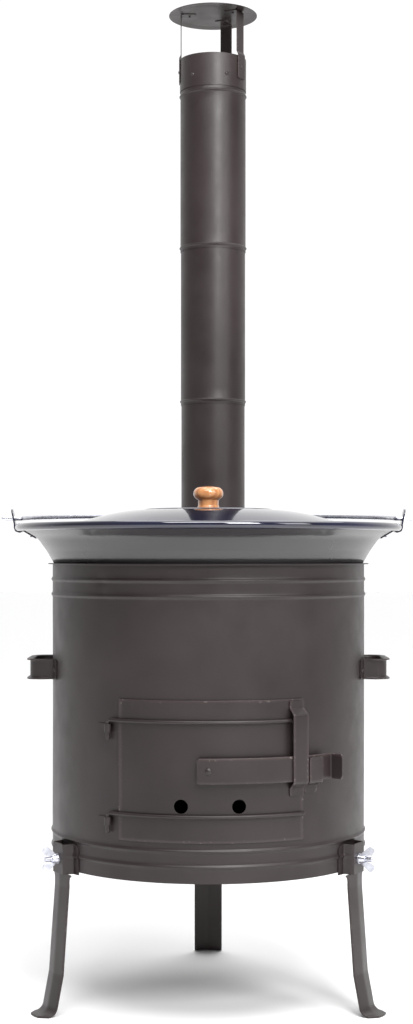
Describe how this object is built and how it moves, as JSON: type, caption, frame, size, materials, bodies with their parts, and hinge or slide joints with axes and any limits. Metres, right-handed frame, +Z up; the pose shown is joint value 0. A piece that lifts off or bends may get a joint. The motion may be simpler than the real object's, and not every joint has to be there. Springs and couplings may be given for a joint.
{
  "type": "kettle stove",
  "caption": "Round sheet-steel wood stove on legs, with a latched fire door, an enamelled kettle with lid and bail, and a stovepipe with a rain cap.",
  "frame": {"origin": "on the floor, below the centre of the whole stove's bounding box", "axes": "+Z up, the fire door faces -Y, +X is to the right seen from the front"},
  "size_m": [0.666, 0.795, 1.6995],
  "materials": {
    "body_paint": "satin heat-resistant paint",
    "pipe_paint": "satin heat-resistant paint",
    "grate_iron": "rough cast",
    "enamel": "glossy vitreous enamel",
    "zinc": "bright zinc plate",
    "knob_wood": "varnished beech",
    "black_plastic": "matte"
  },
  "bodies": {
    "root": {"stove_body": "body_paint", "base_plate": "body_paint", "grate_supports": "body_paint", "hinge_eyes": "body_paint", "latch_catch": "body_paint", "side_handle_left": "body_paint", "side_handle_right": "body_paint", "handle_rivets": "body_paint", "leg_front_left": "body_paint", "leg_front_right": "body_paint", "leg_rear": "body_paint", "leg_bracket_front_left": "body_paint", "leg_bracket_front_right": "body_paint", "leg_bracket_rear": "body_paint", "leg_bolts": "zinc", "leg_washers": "zinc", "flue_stub": "pipe_paint", "elbow": "pipe_paint", "pipe_lower": "pipe_paint", "pipe_middle": "pipe_paint", "pipe_upper": "pipe_paint", "cap_collar": "pipe_paint", "collar_screws": "pipe_paint", "cap_stay_left": "pipe_paint", "cap_stay_right": "pipe_paint", "cap_stay_rear": "pipe_paint", "cap_disc": "pipe_paint", "cap_rivets": "pipe_paint"},
    "door": {"door_panel": "body_paint", "hinge_rod_upper": "body_paint", "hinge_rod_lower": "body_paint", "latch_rivet": "body_paint", "latch_spacer": "body_paint", "latch_guide": "body_paint"},
    "latch": {"latch_bar": "body_paint"},
    "grate": {"fire_grate": "grate_iron"},
    "kettle": {"kettle": "enamel", "kettle_lug_left": "enamel", "kettle_lug_right": "enamel", "lug_rivets": "enamel"},
    "bail": {"bail": "zinc"},
    "lid": {"lid": "enamel", "lid_knob": "knob_wood", "knob_washer": "black_plastic", "knob_screw": "zinc"},
    "wing_nut_left": {"wing_nut_front_left": "zinc"},
    "wing_nut_right": {"wing_nut_front_right": "zinc"},
    "wing_nut_back": {"wing_nut_rear": "zinc"}
  },
  "joints": [
    {"name": "door_swing", "type": "hinge", "parent": "root", "child": "door", "pos_m": [-0.15057, -0.29405, 0.386], "axis": [0, 0, -1], "range_deg": [0, 110]},
    {"name": "latch_lift", "type": "hinge", "parent": "door", "child": "latch", "pos_m": [0, -0.34755, 0.386], "axis": [0, -1, 0], "range_deg": [0, 16]},
    {"name": "grate_lift", "type": "slide", "parent": "root", "child": "grate", "axis": [0, 0, 1], "range_m": [0, 0.08]},
    {"name": "kettle_lift", "type": "slide", "parent": "root", "child": "kettle", "axis": [0, 0, 1], "range_m": [0, 0.3]},
    {"name": "bail_swing", "type": "hinge", "parent": "kettle", "child": "bail", "pos_m": [0, -0.08755, 0.762], "axis": [1, 0, 0], "range_deg": [0, 176.2]},
    {"name": "lid_lift", "type": "slide", "parent": "kettle", "child": "lid", "axis": [0, 0, 1], "range_m": [0, 0.15]},
    {"name": "wing_nut_left_spin", "type": "hinge", "parent": "root", "child": "wing_nut_left", "pos_m": [-0.23383, -0.22255, 0.237], "axis": [-0.866, -0.5, 0], "continuous": true},
    {"name": "wing_nut_right_spin", "type": "hinge", "parent": "root", "child": "wing_nut_right", "pos_m": [0.23383, -0.22255, 0.237], "axis": [0.866, -0.5, 0], "continuous": true},
    {"name": "wing_nut_back_spin", "type": "hinge", "parent": "root", "child": "wing_nut_back", "pos_m": [0, 0.18245, 0.237], "axis": [0, 1, 0], "continuous": true}
  ]
}
